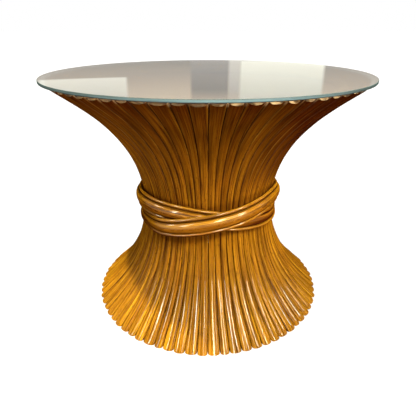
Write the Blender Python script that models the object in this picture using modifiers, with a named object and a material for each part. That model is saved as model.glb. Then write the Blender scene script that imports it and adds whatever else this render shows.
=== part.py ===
"""Wheat sheaf side table: a flared sheaf of staves on inner hoops, tied at the waist, under loose glass.

Metres, +Z up. The origin is on the floor under the middle of the table. The tie crosses at the front, -Y.
"""
import math

import bmesh
import bpy
import numpy as np
from mathutils import Vector

# Overall sizes
TABLE_HEIGHT = 0.589
GLASS_DIAMETER = 0.762
GLASS_THICKNESS = 0.006
GLASS_ARRIS = 0.0012
GLASS_OVERHANG = 0.0093
GLASS_SIDES = 96

# Outline of the sheaf through the crests of its staves: two curves that meet upright at the waist
RIM_SLOPE = math.radians(46)
RIM_HANDLE = 0.0408
RIM_TRIM = 0.0037
WAIST_RADIUS = 0.172
WAIST_HEIGHT = 0.2786
WAIST_UPPER_HANDLE = 0.1853
WAIST_LOWER_HANDLE = 0.1627
FOOT_RADIUS = 0.315
FOOT_SLOPE = math.radians(45)
FOOT_HANDLE = 0.071
OUTLINE_SAMPLES = 200

# Staves, which are built in neighbouring pairs
STAVE_COUNT = 72
STAVE_THICKNESS = 0.009
STAVE_GAP = 0.0005
RIM_CROWN = 0.0035
WAIST_CROWN = 0.0040
FOOT_CROWN = 0.0060
STAVE_ACROSS = (-1.0, -0.4, 0.4, 1.0)
STRETCH_STEPS = (1, 6, 6, 1)

# Hoops inside the sheaf that the staves are fastened to
HOOP_THICKNESS = 0.020
HOOP_SIDES = 8
RIM_HOOP_DROP = 0.0358
FOOT_HOOP_HEIGHT = 0.034

# Clear bumpers between the stave ends and the glass
BUMPER_COUNT = 8
BUMPER_DIAMETER = 0.008
BUMPER_HEIGHT = 0.0016
BUMPER_SIDES = 16

# Tie: a thick oval strand between two thin round ones, wrapped once with its two tails crossed at the front
TIE_CORE_WIDTH = 0.028
TIE_CORE_DEPTH = 0.020
TIE_CORE_SIDES = 8
TIE_CORD_DIAMETER = 0.008
TIE_CORD_STAND_OFF = 0.002
TIE_LEFT_RISE = 0.0149
TIE_BACK_RISE = 0.0044
TIE_RIGHT_RISE = 0.0294
TIE_LEFT_TAIL_GAP = 0.0025
TIE_RIGHT_TAIL_GAP = 0.0130
TIE_TAIL_ANGLE = 76.0
TIE_TAIL_SHARE = 0.35
TIE_POINTS_PER_TURN = 24
GAP_POINTS_PER_STRETCH = 6

# Angles of the tie's wrap in degrees from the front, positive to the right, as it leaves its right tail
TIE_RIGHT_TAIL_END = 97.0
TIE_LEFT_TAIL_END = -447.0
UNDER_PASS = (80.0, -32.0)
LEFT_TURN = (-40.0, -130.0)
RIGHT_TURN = (-230.0, -310.0)
OVER_PASS = (-305.0, -430.0)
LIFT_ONSET = (-290.0, -348.0)
LIFT_RELEASE = (-382.0, -422.0)

# Edges sharper than this stay crisp
CREASE_ANGLE = math.radians(40)

# Clearances
SEAT_GAP = 0.0003
TIE_SEAT = 0.0005
TIE_STRAND_GAP = 0.0006

# Sizes and counts that follow
GLASS_UNDERSIDE = TABLE_HEIGHT - GLASS_THICKNESS
BUMPER_TOP = GLASS_UNDERSIDE - SEAT_GAP
STAVE_TOP = BUMPER_TOP - BUMPER_HEIGHT - SEAT_GAP
RIM_RADIUS = GLASS_DIAMETER / 2 - GLASS_OVERHANG
RIM_HOOP_HEIGHT = STAVE_TOP - RIM_HOOP_DROP
TIE_WIDTH = TIE_CORE_WIDTH + 2 * (TIE_CORD_DIAMETER + TIE_STRAND_GAP)
TIE_LEFT_TAIL_RISE = TIE_LEFT_RISE - TIE_WIDTH - TIE_LEFT_TAIL_GAP
TIE_RIGHT_TAIL_RISE = TIE_RIGHT_RISE - TIE_WIDTH - TIE_RIGHT_TAIL_GAP
PAIR_COUNT = STAVE_COUNT // 2
STAVE_ANGLE = math.tau / STAVE_COUNT
PAIR_ANGLE = math.tau / PAIR_COUNT


def clear_scene():
    for scene_object in list(bpy.data.objects):
        bpy.data.objects.remove(scene_object)


def new_collection(name):
    collection = bpy.data.collections.new(name)
    bpy.context.scene.collection.children.link(collection)
    return collection


def new_material(name, colour, roughness, alpha=1.0):
    material = bpy.data.materials.new(name)
    material.use_nodes = True
    shader = material.node_tree.nodes["Principled BSDF"]
    shader.inputs["Base Color"].default_value = (*colour, 1.0)
    shader.inputs["Roughness"].default_value = roughness
    shader.inputs["Metallic"].default_value = 0.0
    shader.inputs["Alpha"].default_value = alpha
    return material


def bezier(start, start_handle, end_handle, end, share):
    back = 1 - share
    return (start * back**3 + 3 * start_handle * back**2 * share
            + 3 * end_handle * back * share**2 + end * share**3)


def sheaf_outline():
    """Radius and height along the crests, from the foot up to the rim."""
    share = np.linspace(0, 1, OUTLINE_SAMPLES)[:, None]
    waist = np.array((WAIST_RADIUS, WAIST_HEIGHT))
    foot = np.array((FOOT_RADIUS, 0.0))
    rim = np.array((RIM_RADIUS, STAVE_TOP))
    waist_top = waist + np.array((0.0, WAIST_UPPER_HANDLE))
    waist_bottom = waist - np.array((0.0, WAIST_LOWER_HANDLE))
    foot_handle = foot + FOOT_HANDLE * np.array((-math.cos(FOOT_SLOPE), math.sin(FOOT_SLOPE)))
    rim_handle = rim - RIM_HANDLE * np.array((math.cos(RIM_SLOPE), math.sin(RIM_SLOPE)))
    lower = bezier(foot, foot_handle, waist_bottom, waist, share)
    upper = bezier(waist, waist_top, rim_handle, rim, share)
    return np.vstack((lower, upper[1:]))


OUTLINE = sheaf_outline()
OUTLINE_LENGTH = np.concatenate(([0.0], np.cumsum(np.linalg.norm(np.diff(OUTLINE, axis=0), axis=1))))
OUTLINE_TANGENT = np.gradient(OUTLINE, OUTLINE_LENGTH, axis=0)


def crest_radius(height):
    return float(np.interp(height, OUTLINE[:, 1], OUTLINE[:, 0]))


def crest_tangent(height):
    along = [np.interp(height, OUTLINE[:, 1], OUTLINE_TANGENT[:, axis]) for axis in (0, 1)]
    return np.array(along) / np.linalg.norm(along)


def below_crest(height, depth, level=None):
    """Radius and height of the point that lies deep under the crest, slid along the stave to a level cut."""
    tangent = crest_tangent(height)
    inward = np.array((-tangent[1], tangent[0]))
    point = np.array((crest_radius(height), height)) + inward * depth
    if level is not None:
        point = point + tangent * (level - point[1]) / tangent[1]
    return point


def stave_crown(height):
    return float(np.interp(height, (0.0, WAIST_HEIGHT, STAVE_TOP), (FOOT_CROWN, WAIST_CROWN, RIM_CROWN)))


def stave_stations():
    """Heights of the sections, at the ends, hoops and waist and evenly along the stave between them."""
    stops = (0.0, FOOT_HOOP_HEIGHT, WAIST_HEIGHT, RIM_HOOP_HEIGHT, STAVE_TOP)
    lengths = np.interp(stops, OUTLINE[:, 1], OUTLINE_LENGTH)
    stations = [lengths[0]]
    for start, end, steps in zip(lengths, lengths[1:], STRETCH_STEPS):
        stations.extend(np.linspace(start, end, steps + 1)[1:])
    return np.interp(stations, OUTLINE_LENGTH, OUTLINE[:, 1])


def stave_faces():
    """Radius and height of the flat along a stave's crest at each section."""
    flat = min(abs(across) for across in STAVE_ACROSS)
    return np.array([below_crest(height, stave_crown(height) * flat**2) for height in stave_stations()])


def pair_section(height, level=None):
    """Outline about +X of two neighbouring staves, crowned outside, flat inside and clear of the next pair.

    The two share the point at the bottom of the groove between them.
    """
    crown = stave_crown(height)
    first = [((across - 1) / 2 * STAVE_ANGLE, crown * across**2) for across in STAVE_ACROSS]
    second = [(turn + STAVE_ANGLE, depth) for turn, depth in first[1:]]
    inner = [(turn, STAVE_THICKNESS) for turn in (STAVE_ANGLE, -STAVE_ANGLE)]
    section = []
    for turn, depth in first + second + inner:
        radius, rise = below_crest(height, depth, level)
        seam = STAVE_ANGLE - STAVE_GAP / 2 / radius
        turn = max(-seam, min(seam, turn))
        section.append(Vector((radius * math.cos(turn), radius * math.sin(turn), rise)))
    return section


def next_corners(corners, face):
    """Corners of the drawn face, in the order of the corners that they were drawn from."""
    drawn = set(face.verts)
    return [next(edge.other_vert(corner) for edge in corner.link_edges if edge.other_vert(corner) in drawn)
            for corner in corners]


def stave_pair_mesh():
    """Two staves drawn up from their foot section, then trimmed plumb at the rim."""
    stations = stave_stations()
    shape = bmesh.new()
    foot = shape.faces.new([shape.verts.new(point) for point in pair_section(stations[0], level=0.0)])
    face = foot
    corners = list(face.verts)
    for height in stations[1:]:
        level = STAVE_TOP if height == stations[-1] else None
        drawn = bmesh.ops.extrude_face_region(shape, geom=[face])["geom"]
        if face is not foot:
            shape.faces.remove(face)
        face = next(item for item in drawn if isinstance(item, bmesh.types.BMFace))
        corners = next_corners(corners, face)
        for corner, point in zip(corners, pair_section(height, level)):
            corner.co = point
    bmesh.ops.recalc_face_normals(shape, faces=shape.faces[:])
    bmesh.ops.bisect_plane(shape, geom=shape.verts[:] + shape.edges[:] + shape.faces[:], clear_outer=True,
                           plane_co=(RIM_RADIUS - RIM_TRIM, 0, 0), plane_no=(1, 0, 0))
    bmesh.ops.holes_fill(shape, edges=[edge for edge in shape.edges if edge.is_boundary])
    bmesh.ops.recalc_face_normals(shape, faces=shape.faces[:])
    mesh = bpy.data.meshes.new("stave_pair")
    shape.to_mesh(mesh)
    shape.free()
    mesh.shade_smooth()
    mesh.set_sharp_from_angle(angle=CREASE_ANGLE)
    return mesh


def add_object(name, data, material, collection, location=(0, 0, 0), turn=0.0):
    """Object with its material, standing on the table's own axis or at its place."""
    if not data.materials:
        data.materials.append(material)
    part = bpy.data.objects.new(name, data)
    part.location = location
    part.rotation_euler.z = turn
    collection.objects.link(part)
    return part


def add_staves(collection):
    material = new_material("stained_stave", (0.42, 0.20, 0.04), 0.32)
    mesh = stave_pair_mesh()
    for pair in range(PAIR_COUNT):
        add_object(f"stave_pair_{pair + 1:02d}", mesh, material, collection, turn=(pair + 0.5) * PAIR_ANGLE)


def take_primitive(name, material, collection):
    """The primitive just added, named and moved to the table's collection."""
    part = bpy.context.object
    part.name = name
    part.data.name = name
    part.data.materials.append(material)
    for holder in list(part.users_collection):
        holder.objects.unlink(part)
    collection.objects.link(part)
    part.data.shade_smooth()
    part.data.set_sharp_from_angle(angle=CREASE_ANGLE)
    return part


def hoop_reach(height):
    """How far the flat-sided section of a hoop reaches toward the staves at a height."""
    outward, upward = crest_tangent(height)
    facing = math.atan2(-outward, upward)
    corner = math.tau / HOOP_SIDES
    off_corner = facing - round(facing / corner) * corner
    return HOOP_THICKNESS / 2 * math.cos(off_corner)


def add_hoops(collection):
    """Hoops with a flat for each stave pair, bearing on the inner faces of the staves."""
    material = new_material("hoop_pole", (0.40, 0.24, 0.10), 0.55)
    for name, height in (("rim_hoop", RIM_HOOP_HEIGHT), ("waist_hoop", WAIST_HEIGHT),
                         ("foot_hoop", FOOT_HOOP_HEIGHT)):
        radius, rise = below_crest(height, STAVE_THICKNESS + SEAT_GAP + hoop_reach(height))
        bpy.ops.mesh.primitive_torus_add(major_segments=PAIR_COUNT, minor_segments=HOOP_SIDES,
                                         major_radius=radius, minor_radius=HOOP_THICKNESS / 2,
                                         location=(0, 0, rise))
        take_primitive(name, material, collection)


def add_bumpers(collection):
    """Discs on the level ends of evenly spread staves."""
    material = new_material("clear_bumper", (0.80, 0.82, 0.80), 0.25, alpha=0.6)
    inner_edge = below_crest(STAVE_TOP, STAVE_THICKNESS, STAVE_TOP)[0]
    radius = (inner_edge + RIM_RADIUS - RIM_TRIM) / 2
    for bumper in range(BUMPER_COUNT):
        turn = (round(bumper * STAVE_COUNT / BUMPER_COUNT) + 0.5) * STAVE_ANGLE
        bpy.ops.mesh.primitive_cylinder_add(
            vertices=BUMPER_SIDES, radius=BUMPER_DIAMETER / 2, depth=BUMPER_HEIGHT,
            location=(radius * math.cos(turn), radius * math.sin(turn), BUMPER_TOP - BUMPER_HEIGHT / 2))
        take_primitive(f"glass_bumper_{bumper + 1}", material, collection)


def add_glass(collection):
    """Loose disc with its edges eased, whose origin is on the line along which it lifts off."""
    material = new_material("glass", (0.70, 0.80, 0.78), 0.03, alpha=0.35)
    bpy.ops.mesh.primitive_cylinder_add(
        vertices=GLASS_SIDES, radius=GLASS_DIAMETER / 2, depth=GLASS_THICKNESS,
        location=(0, 0, GLASS_UNDERSIDE + GLASS_THICKNESS / 2))
    glass = take_primitive("glass_top", material, collection)
    arris = glass.modifiers.new("Arris", "BEVEL")
    arris.width = GLASS_ARRIS
    arris.segments = 1
    arris.limit_method = "ANGLE"
    arris.angle_limit = CREASE_ANGLE


def ease(start, end, value):
    """Smooth step from 0 at the start to 1 at the end, whichever way the two run."""
    share = min(max((value - start) / (end - start), 0.0), 1.0)
    return share * share * (3 - 2 * share)


def tie_height(angle):
    """Height of the tie's middle: up to the left under the crossing, round the back and down over it."""
    rise = TIE_RIGHT_TAIL_RISE
    rise += (TIE_LEFT_RISE - TIE_RIGHT_TAIL_RISE) * ease(*UNDER_PASS, angle)
    rise += (TIE_BACK_RISE - TIE_LEFT_RISE) * ease(*LEFT_TURN, angle)
    rise += (TIE_RIGHT_RISE - TIE_BACK_RISE) * ease(*RIGHT_TURN, angle)
    rise += (TIE_LEFT_TAIL_RISE - TIE_RIGHT_RISE) * ease(*OVER_PASS, angle)
    return WAIST_HEIGHT + rise


def tie_share(angle):
    """Size of the core's section as a share of its full one, which falls toward the end of each tail."""
    to_end = min(TIE_RIGHT_TAIL_END - angle, angle - TIE_LEFT_TAIL_END)
    return TIE_TAIL_SHARE + (1 - TIE_TAIL_SHARE) * min(to_end / TIE_TAIL_ANGLE, 1.0)


def tie_lift(angle):
    """How far the over pass stands off the sheaf to clear the under pass."""
    return (TIE_CORE_DEPTH + TIE_STRAND_GAP) * ease(*LIFT_ONSET, angle) * (1 - ease(*LIFT_RELEASE, angle))


def tie_path(side):
    """Points of one strand and shares of its full size: side is 0 for the core, +1 and -1 for its cords.

    Straight stretches dip inside the round path, so the points lie outside it by that much.
    """
    faces = stave_faces()
    steps = round((TIE_RIGHT_TAIL_END - TIE_LEFT_TAIL_END) * TIE_POINTS_PER_TURN / 360)
    path = []
    for angle in np.linspace(TIE_RIGHT_TAIL_END, TIE_LEFT_TAIL_END, steps + 1):
        share = tie_share(angle)
        spacing = (TIE_CORE_WIDTH * share + TIE_CORD_DIAMETER) / 2 + TIE_STRAND_GAP
        height = tie_height(angle) + side * spacing
        stand_off = max(TIE_CORE_DEPTH * share, TIE_CORD_DIAMETER) / 2
        if side > 0:
            stand_off = TIE_CORD_DIAMETER / 2 + TIE_CORD_STAND_OFF
        radius = np.interp(height, faces[:, 1], faces[:, 0]) + TIE_SEAT + stand_off + tie_lift(angle)
        radius /= math.cos(math.pi / TIE_POINTS_PER_TURN)
        turn = math.radians(angle)
        place = Vector((radius * math.sin(turn), -radius * math.cos(turn), height))
        path.append((place, 1.0 if side else share))
    return path


def print_least_gap(name, path, depth, width):
    """Print the least gap between the passes of a strand, over points a half turn or more apart."""
    fine = []
    for (start, start_share), (end, end_share) in zip(path, path[1:]):
        for part in np.linspace(0, 1, GAP_POINTS_PER_STRETCH, endpoint=False):
            fine.append((*start.lerp(end, part), start_share + (end_share - start_share) * part))
    points = np.array(fine)
    half_turn = TIE_POINTS_PER_TURN * GAP_POINTS_PER_STRETCH // 2
    gaps = []
    for index, point in enumerate(points[:-half_turn]):
        others = points[index + half_turn:]
        sizes = (others[:, 3] + point[3]) / 2
        across = np.hypot(others[:, 0] - point[0], others[:, 1] - point[1])
        up = others[:, 2] - point[2]
        reach = np.hypot(across / depth, up / width) / sizes
        gaps.append(np.min(np.hypot(across, up) * (1 - 1 / reach)))
    print(f"{name} comes no nearer to itself than {1000 * min(gaps):.2f} mm")


def oval_guide(collection):
    """Section of the tie's core, wider up the sheaf than it is deep."""
    curve = bpy.data.curves.new("tie_core_section", "CURVE")
    curve.dimensions = "2D"
    spline = curve.splines.new("POLY")
    spline.points.add(TIE_CORE_SIDES - 1)
    spline.use_cyclic_u = True
    for number, point in enumerate(spline.points):
        turn = -math.tau * number / TIE_CORE_SIDES
        point.co = (TIE_CORE_DEPTH / 2 * math.cos(turn), TIE_CORE_WIDTH / 2 * math.sin(turn), 0, 1)
    guide = bpy.data.objects.new("tie_core_section", curve)
    guide.hide_render = True
    guide.display_type = "WIRE"
    collection.objects.link(guide)
    return guide


def strand_curve(name, path):
    curve = bpy.data.curves.new(name, "CURVE")
    curve.dimensions = "3D"
    curve.twist_mode = "Z_UP"
    curve.use_fill_caps = True
    spline = curve.splines.new("POLY")
    spline.points.add(len(path) - 1)
    for point, (place, share) in zip(spline.points, path):
        point.co = (*place, 1)
        point.radius = share
    return curve


def add_tie(collection, guides):
    material = new_material("tie_pole", (0.48, 0.24, 0.05), 0.25)
    path = tie_path(0)
    core = strand_curve("tie_core", path)
    core.bevel_mode = "OBJECT"
    core.bevel_object = oval_guide(guides)
    add_object("tie_core", core, material, collection)
    print_least_gap("tie_core", path, TIE_CORE_DEPTH, TIE_CORE_WIDTH)
    for name, side in (("tie_upper_cord", 1), ("tie_lower_cord", -1)):
        path = tie_path(side)
        cord = strand_curve(name, path)
        cord.bevel_depth = TIE_CORD_DIAMETER / 2
        cord.bevel_resolution = 1
        add_object(name, cord, material, collection)
        print_least_gap(name, path, TIE_CORD_DIAMETER, TIE_CORD_DIAMETER)


def main():
    clear_scene()
    table = new_collection("wheat_sheaf_side_table")
    guides = new_collection("guides")
    add_staves(table)
    add_hoops(table)
    add_tie(table, guides)
    add_bumpers(table)
    add_glass(table)


main()
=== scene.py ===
"""Looks of the wheat sheaf side table: staves, hoops, tie, bumpers, glass top and a plain studio.

Metres, +Z up, with the front toward -Y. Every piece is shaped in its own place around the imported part.
"""
import math
import random
from collections import namedtuple

import bmesh
import bpy
import numpy as np
from bpy.props import FloatProperty, FloatVectorProperty, PointerProperty
from mathutils import Matrix, Vector, noise


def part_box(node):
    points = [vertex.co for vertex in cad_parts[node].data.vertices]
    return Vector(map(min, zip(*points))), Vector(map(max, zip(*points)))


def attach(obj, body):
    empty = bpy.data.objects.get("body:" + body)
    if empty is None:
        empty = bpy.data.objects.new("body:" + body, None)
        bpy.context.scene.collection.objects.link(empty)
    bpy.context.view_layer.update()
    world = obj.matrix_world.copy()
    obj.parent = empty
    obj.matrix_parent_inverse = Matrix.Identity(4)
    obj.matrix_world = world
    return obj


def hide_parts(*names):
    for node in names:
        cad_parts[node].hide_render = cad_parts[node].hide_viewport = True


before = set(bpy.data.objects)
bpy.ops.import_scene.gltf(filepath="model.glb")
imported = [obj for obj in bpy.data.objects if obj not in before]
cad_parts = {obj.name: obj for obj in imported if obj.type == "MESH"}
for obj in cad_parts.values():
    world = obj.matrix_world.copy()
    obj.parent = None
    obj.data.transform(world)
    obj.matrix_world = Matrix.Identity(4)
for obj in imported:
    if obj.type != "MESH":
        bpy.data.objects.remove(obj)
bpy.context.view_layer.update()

bl_info = {
    "name": "Wheat sheaf side table",
    "version": (1, 0, 0),
    "blender": (4, 5, 0),
    "location": "View3D > Sidebar > Sheaf table",
    "description": "Staves, hoops, tie, bumpers and glass of a tied sheaf table, on a plain stage",
    "category": "Object",
}

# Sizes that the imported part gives
GLASS_LOW, GLASS_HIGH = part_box("glass_top")
GLASS_RADIUS = GLASS_HIGH.x
GLASS_THICKNESS = GLASS_HIGH.z - GLASS_LOW.z
STAVE_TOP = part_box("stave_pair_01")[1].z
BUMPER_COUNT = sum(name.startswith("glass_bumper_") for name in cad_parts)
PAIR_COUNT = sum(name.startswith("stave_pair_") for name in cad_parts)
STAVE_COUNT = 2 * PAIR_COUNT
STAVE_ANGLE = math.tau / STAVE_COUNT

# Outline of the sheaf through the crests of its staves
GLASS_OVERHANG = 0.0093
RIM_RADIUS = GLASS_RADIUS - GLASS_OVERHANG
RIM_SLOPE = math.radians(46)
RIM_HANDLE = 0.0408
RIM_TRIM = 0.0056
WAIST_RADIUS = 0.172
WAIST_HEIGHT = 0.2786
WAIST_UPPER_HANDLE = 0.1853
WAIST_LOWER_HANDLE = 0.1627
FOOT_RADIUS = 0.315
FOOT_SLOPE = math.radians(45)
FOOT_HANDLE = 0.071
OUTLINE_SAMPLES = 400

# Sections along a stave, closer together in the zone below and above the waist that lies behind the tie
LOW_STATIONS, TIE_STATIONS, HIGH_STATIONS = 18, 40, 34
STATION_COUNT = LOW_STATIONS + TIE_STATIONS + HIGH_STATIONS
TIE_ZONE = (0.07, 0.10)
OUTER_POINTS = 19
LEVEL_STRETCH = 0.045
STAVE_THICKNESS = 0.009
BACK_GAP = 0.00002

# Shape at the foot, waist and rim: fall from crest to groove, squareness of the shoulders, gap at the face, and
# degrees that a groove wanders
CROWN = (0.0066, 0.0038, 0.0058)
SHOULDER = (0.34, 0.32, 0.36)
GAP = (0.0009, 0.0010, 0.0012)
GROOVE_DRIFT = (0.30, 0.26, 0.26)
GROOVE_DRIFT_LIMIT = 0.5

# Unevenness of the staves: how proud one stands, how wavy its face is, and where its end is trimmed
STAVE_SEED = 72
STAVE_DRIFT = 0.0004
RELIEF = 0.00022
WAVES_ACROSS, WAVES_ALONG = 2.2, 14
RIM_TRIM_DRIFT = (-0.0008, 0.0005)
END_ROUND = 0.0007
MERGE_DISTANCE = 1e-6

# Materials of a stave, by their places on its mesh
LACQUERED, CUT_END, SPLIT_BACK = 0, 1, 2

# Stain at the foot, waist and rim, deepened toward the rim partly as real stain and partly as painted shade of the
# upper flare that faces down, how dark the grooves are there, with painted shade in them, and how much the staves
# differ
STAIN_AND_SHADE = (0.08, 0.35, 0.95)
GROOVE_TONE = (0.42, 0.80, 1.0)
GROOVE_SHARPNESS = 13
TONE_DRIFT = 0.06

# Painted shade under the rim at the right, between bearings where it sets in and where it ends
SHADE_AT_RIGHT = 0.34
RIGHT_SHADE_ONSET = (5, 55)
RIGHT_SHADE_RELEASE = (180, 110)

# Painted shadow of the tie on the staves above and below it, and the reach over which it fades
SHADOW_ABOVE_TIE = 0.2
SHADOW_UNDER_TIE = 0.32
SHADOW_FADE_ABOVE_TIE = (0.0, 0.012)
SHADOW_FADE_UNDER_TIE = (0.009, 0.019)

# Gloss by the distance from the foot, and the bands across a stave, as shares of its half width, that carry it
GLOSS_PLACES = (0.10, 0.15, 0.20, 0.26)
GLOSS = (1.0, 0.45, 0.10, 0.0)
CREST_BAND = (0.30, 0.62)
FLANK_GLOSS = 0.15
OPEN_BAND = (0.93, 0.99)
EDGE_GLOSS = 0.15
EDGE_GLOSS_BAND = (0.80, 0.93)

# Stain thinned along the edges of the upper flare as painted highlight lines, from a distance above the waist, and
# painted glints of pale wood at the groove tops by the rim
EDGE_HIGHLIGHT = (0.0, 0.28)
EDGE_HIGHLIGHT_BAND = (0.78, 0.90)
UPPER_FLARE = (0.02, 0.12)
RIM_GLINT_STRETCH = 0.016
RIM_GLINT_BAND = (0.84, 0.95)

# Half-moon of bare wood on a cut end, and the painted shadow line under the glass that closes it at the top
MOON_WIDTH = 0.021
MOON_DEPTH = 0.0062
MOON_RIM = (0.85, 1.15)
MOON_SHADOW_LINE = (0.0018, 0.0010)

# Tie: sections, heights over the waist, and its wrap in degrees from the front, positive to the right, from the end
# of its right tail
TIE_CORE_WIDTH = 0.028
TIE_CORE_DEPTH = 0.020
TIE_CORD_DIAMETER = 0.008
TIE_CORD_STAND_OFF = 0.002
TIE_STRAND_GAP = 0.0006
TIE_SEAT = 0.0005
TIE_LEFT_RISE = 0.0149
TIE_BACK_RISE = 0.0044
TIE_RIGHT_RISE = 0.0294
TIE_LEFT_TAIL_RISE = -0.0328
TIE_RIGHT_TAIL_RISE = -0.0288
TIE_TAIL_ANGLE = 76.0
TIE_TAIL_SHARE = 0.35
TIE_RIGHT_TAIL_END = 97.0
TIE_LEFT_TAIL_END = -447.0
UNDER_PASS = (80.0, -32.0)
LEFT_TURN = (-40.0, -130.0)
RIGHT_TURN = (-230.0, -310.0)
OVER_PASS = (-305.0, -430.0)
LIFT_ONSET = (-290.0, -348.0)
LIFT_RELEASE = (-382.0, -422.0)
TIE_STEPS = 264

# Strands of the tie: how uneven and how rounded at the ends they are, and the node, side of the core, points round
# the section and squareness of each
STRAND_WAVE = 0.018
STRAND_WAVES_PER_METRE = 16
STRAND_END_ROUND = 0.4
STRAND_END_LEAST = 0.1
STRANDS = (
    ("tie_core", 0, 28, 2.3),
    ("tie_upper_cord", 1, 14, 2.0),
    ("tie_lower_cord", -1, 14, 2.0),
)

# Painted shade on the underside of the strands, painted shadow on the over pass's left tail and painted shade on the
# right tail under it, the lower cord darker past the crossing, gloss on their tops, and where it is dulled
SHADE_UNDER_STRAND = 0.66
STRAND_UNDERSIDE = (0.7, -0.45)
STRAND_TOP = (0.05, 0.5)
SHADOW_ON_OVER_TAIL, OVER_TAIL = 0.3, (-390.0, -425.0)
SHADE_ON_UNDER_TAIL, UNDER_TAIL = 0.5, (15.0, 45.0)
DARK_CORD, CORD_CROSSING = 0.3, (-343.0, -365.0)
TIE_DULL_PLACES = (18.0, 32.0, 120.0, 160.0)
TIE_DULL = (0.0, 0.8, 0.8, 0.0)

# Lacquer: shine and roughness of staves and tie, roughness without gloss, colour of its highlights, and how far
# a face turns away before it has lost them
STAVE_SHINE, STAVE_DULLNESS = 0.75, 0.06
TIE_SHINE, TIE_DULLNESS = 1.0, 0.16
MATT_DULLNESS = 0.34
FULL_GLOSS = 0.3
TURNED_AWAY = (0.22, 0.50)
AMBER_LACQUER = (1.0, 0.95, 0.80)

# What is left of the colour where the stain turns redder
RED_STAIN = (1.0, 0.86, 1.0)

# Float layers that wood patterns follow, beside the places in the grain
WOOD_LAYERS = ("groove", "stain_and_shade", "gloss", "rim_glint")

# Edges sharper than this stay crisp
CREASE_ANGLE = math.radians(38)


def colour_setting(name, description, default):
    """Colour that a user may change, as a property of a settings group."""
    return FloatVectorProperty(name=name, description=description, subtype="COLOR", size=3, min=0, max=1,
                               default=default)


class StaveSettings(bpy.types.PropertyGroup):
    """Stain and lacquer of the staves"""
    pale: colour_setting("Pale stain", "Colour where the stain is thin", (0.40, 0.190, 0.007))
    amber: colour_setting("Amber stain", "Main colour of the staves", (0.25, 0.094, 0.003))
    dark: colour_setting("Dark grain", "Colour of the fibres and flecks", (0.055, 0.0185, 0.0022))
    # The deep stain colour also darkens the painted shade that is carried with the stain
    deep: colour_setting("Deep stain", "What is left of the colour where the stain is deepest", (0.140, 0.067, 0.13))
    # The groove colour is stain settled between staves, and also painted shade in the grooves, between the tie's
    # strands and under the glass at the rim
    groove: colour_setting("Groove", "Colour of the stain that settled between staves", (0.026, 0.0075, 0.0015))
    # The cut end colour also serves for the painted glints at the groove tops by the rim
    cut_end: colour_setting("Cut end", "Colour of the bare wood at the rim", (0.58, 0.35, 0.165))


class TieSettings(bpy.types.PropertyGroup):
    """Stain of the tie"""
    pale: colour_setting("Pale stain", "Colour where the stain is thin", (0.46, 0.208, 0.008))
    amber: colour_setting("Amber stain", "Main colour of the strands", (0.29, 0.112, 0.004))
    dark: colour_setting("Dark grain", "Colour of the fibres and flecks", (0.075, 0.023, 0.002))


class HoopSettings(bpy.types.PropertyGroup):
    """Bare poles inside the sheaf"""
    pole: colour_setting("Pole", "Main colour of the hoops", (0.34, 0.19, 0.075))
    bark: colour_setting("Bark", "Darker colour of the pole's fibres and joints", (0.13, 0.060, 0.020))


class GlassSettings(bpy.types.PropertyGroup):
    """Glass top and its bumpers"""
    arris: FloatProperty(
        name="Arris", description="Width of the eased edges", unit="LENGTH", min=0.0002, max=0.003,
        default=0.0011)
    tint: colour_setting("Sheet tint", "Colour of light through the sheet", (0.80, 0.88, 0.86))
    graze: colour_setting("Low tint", "Colour of light through the sheet at a low angle", (0.06, 0.07, 0.07))
    edge: colour_setting("Edge", "Colour of the polished edge", (0.085, 0.128, 0.126))
    # Colour of the painted shade along the edge's corners, lower arris and sides
    corner_shade: colour_setting("Corner", "Colour along the eased corners of the edge", (0.045, 0.062, 0.057))


class StageSettings(bpy.types.PropertyGroup):
    """Floor, light and camera"""
    floor: colour_setting("Floor", "Colour of the floor", (0.10, 0.10, 0.10))
    floor_glow: FloatProperty(
        name="Floor glow", description="Light that comes up through the floor", min=0, max=2, default=0.93)
    ceiling: FloatProperty(
        name="Ceiling light", description="Strength of the high light at the left", min=0, default=8.5)
    window: FloatProperty(
        name="Soft light", description="Power of the soft light at the front right", unit="POWER", min=0,
        default=156.0)
    strip: FloatProperty(
        name="Strip lights", description="Power of the upright strips that show in the gloss", unit="POWER", min=0,
        default=62.0)


def bezier(start, start_handle, end_handle, end, share):
    back = 1 - share
    return (start * back**3 + 3 * start_handle * back**2 * share
            + 3 * end_handle * back * share**2 + end * share**3)


def sheaf_outline():
    """Radius and height along the crests, from the foot up to the rim."""
    share = np.linspace(0, 1, OUTLINE_SAMPLES)[:, None]
    waist = np.array((WAIST_RADIUS, WAIST_HEIGHT))
    foot = np.array((FOOT_RADIUS, 0.0))
    rim = np.array((RIM_RADIUS, STAVE_TOP))
    waist_top = waist + np.array((0.0, WAIST_UPPER_HANDLE))
    waist_bottom = waist - np.array((0.0, WAIST_LOWER_HANDLE))
    foot_handle = foot + FOOT_HANDLE * np.array((-math.cos(FOOT_SLOPE), math.sin(FOOT_SLOPE)))
    rim_handle = rim - RIM_HANDLE * np.array((math.cos(RIM_SLOPE), math.sin(RIM_SLOPE)))
    lower = bezier(foot, foot_handle, waist_bottom, waist, share)
    upper = bezier(waist, waist_top, rim_handle, rim, share)
    return np.vstack((lower, upper[1:]))


OUTLINE = sheaf_outline()
OUTLINE_LENGTH = np.concatenate(([0.0], np.cumsum(np.linalg.norm(np.diff(OUTLINE, axis=0), axis=1))))
OUTLINE_TANGENT = np.gradient(OUTLINE, OUTLINE_LENGTH, axis=0)
STAVE_LENGTH = float(OUTLINE_LENGTH[-1])
WAIST_ALONG = float(np.interp(WAIST_HEIGHT, OUTLINE[:, 1], OUTLINE_LENGTH))


def along_stave(along, values):
    """Value at a distance along a stave, from the ones at its foot, waist and rim."""
    return float(np.interp(along, (0.0, WAIST_ALONG, STAVE_LENGTH), values))


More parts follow.
